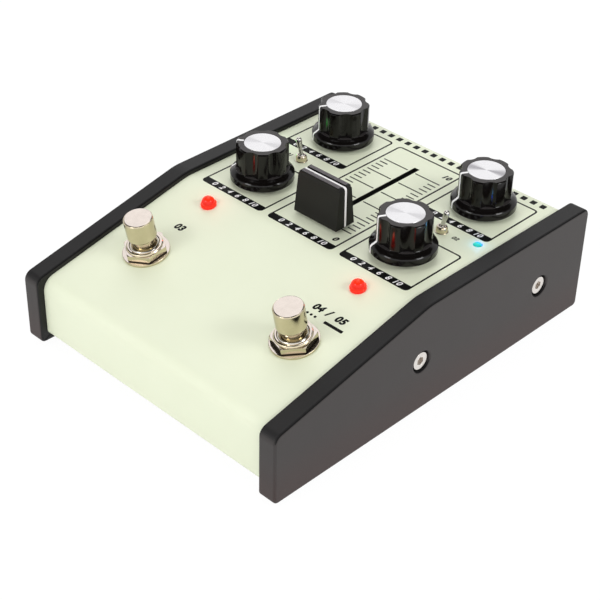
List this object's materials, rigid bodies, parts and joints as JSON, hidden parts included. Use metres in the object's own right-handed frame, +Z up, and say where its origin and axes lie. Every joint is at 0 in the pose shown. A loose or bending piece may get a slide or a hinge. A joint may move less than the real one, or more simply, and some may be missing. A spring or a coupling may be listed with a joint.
{
  "type": "delay pedal",
  "caption": "Wedge-fronted tabletop delay effect pedal: folded cover between thick cheeks, foot switches, fluted knobs, fader, lever switches, lamps and rear sockets.",
  "frame": {"origin": "on the table under the middle of the housing, at the bottom of the feet", "axes": "+X to the user's right, +Y to the rear wall with the sockets, +Z up"},
  "size_m": [0.135, 0.1694, 0.0626],
  "materials": {
    "cover_paint": "pale yellow-green powder coat, fine grain, satin",
    "tray_paint": "black powder coat",
    "cheek": "satin black with softly rounded edges",
    "steel": "zinc-plated steel",
    "rubber": "matt moulded rubber",
    "knob_black": "polished moulded plastic",
    "disc_metal": "spun aluminium",
    "shaft_brass": "turned brass",
    "case_metal": "pressed metal case",
    "cap_black": "satin moulded plastic",
    "nickel": "bright nickel plate",
    "board": "solder-masked laminate",
    "lens_red": "clear tinted lens",
    "lens_blue": "clear tinted lens",
    "lens_green": "clear tinted lens",
    "socket_black": "moulded plastic",
    "ribbon": "flat flexible cable"
  },
  "bodies": {
    "housing": {"top_cover": "cover_paint", "base_tray": "tray_paint", "left_cheek": "cheek", "right_cheek": "cheek", "cheek_screws": "steel", "lip_screws": "steel", "foot_screws": "steel", "board_screws": "steel", "cheek_nuts": "steel", "lip_nuts": "steel", "pot_washers": "steel", "pot_nuts": "steel", "feet": "rubber", "board_spacers": "shaft_brass", "pot_front_left": "case_metal", "pot_rear_left": "case_metal", "pot_front_right": "case_metal", "pot_rear_right": "case_metal", "fader_case": "case_metal", "left_toggle_switch": "nickel", "right_toggle_switch": "nickel", "left_foot_switch": "nickel", "right_foot_switch": "nickel", "foot_washers": "nickel", "foot_nuts": "nickel", "foot_lock_nuts": "nickel", "jack_washers": "nickel", "jack_nuts": "nickel", "inlet_nut": "nickel", "foot_switch_boards": "board", "control_board": "board", "main_board": "board", "left_red_lamp": "lens_red", "right_red_lamp": "lens_red", "blue_lamp": "lens_blue", "green_lamp": "lens_green", "input_jack": "socket_black", "output_jack": "socket_black", "power_inlet": "socket_black", "ribbon_cable": "ribbon"},
    "knob_front_left": {"knob_front_left": "knob_black", "disc_front_left": "disc_metal", "shaft_front_left": "shaft_brass"},
    "knob_rear_left": {"knob_rear_left": "knob_black", "disc_rear_left": "disc_metal", "shaft_rear_left": "shaft_brass"},
    "knob_front_right": {"knob_front_right": "knob_black", "disc_front_right": "disc_metal", "shaft_front_right": "shaft_brass"},
    "knob_rear_right": {"knob_rear_right": "knob_black", "disc_rear_right": "disc_metal", "shaft_rear_right": "shaft_brass"},
    "fader": {"fader_lever": "steel", "fader_cap": "cap_black"},
    "left_toggle": {"left_toggle_lever": "nickel"},
    "right_toggle": {"right_toggle_lever": "nickel"},
    "left_foot_button": {"left_foot_cap": "nickel"},
    "right_foot_button": {"right_foot_cap": "nickel"}
  },
  "joints": [
    {"name": "knob_front_left_turn", "type": "hinge", "parent": "housing", "child": "knob_front_left", "pos_m": [-0.037, 0.0114, 0.0448], "axis": [0, 0, -1], "range_deg": [-26, 274]},
    {"name": "knob_rear_left_turn", "type": "hinge", "parent": "housing", "child": "knob_rear_left", "pos_m": [-0.037, 0.0578, 0.0448], "axis": [0, 0, -1], "range_deg": [0, 300]},
    {"name": "knob_front_right_turn", "type": "hinge", "parent": "housing", "child": "knob_front_right", "pos_m": [0.037, 0.0114, 0.0448], "axis": [0, 0, -1], "range_deg": [0, 300]},
    {"name": "knob_rear_right_turn", "type": "hinge", "parent": "housing", "child": "knob_rear_right", "pos_m": [0.037, 0.0578, 0.0448], "axis": [0, 0, -1], "range_deg": [0, 300]},
    {"name": "fader_slide", "type": "slide", "parent": "housing", "child": "fader", "axis": [0, 1, 0], "range_m": [0, 0.051]},
    {"name": "left_toggle_flip", "type": "hinge", "parent": "housing", "child": "left_toggle", "pos_m": [-0.037, 0.0334, 0.047], "axis": [0, 1, 0], "range_deg": [0, 28.6]},
    {"name": "right_toggle_flip", "type": "hinge", "parent": "housing", "child": "right_toggle", "pos_m": [0.037, 0.0334, 0.047], "axis": [0, -1, 0], "range_deg": [0, 28.6]},
    {"name": "left_foot_button_press", "type": "slide", "parent": "housing", "child": "left_foot_button", "axis": [0, 0.2074, -0.9782], "range_m": [0, 0.0025], "stiffness_N_per_m": 800, "springref_m": -0.004},
    {"name": "right_foot_button_press", "type": "slide", "parent": "housing", "child": "right_foot_button", "axis": [0, 0.2074, -0.9782], "range_m": [0, 0.0025], "stiffness_N_per_m": 800, "springref_m": -0.004}
  ]
}
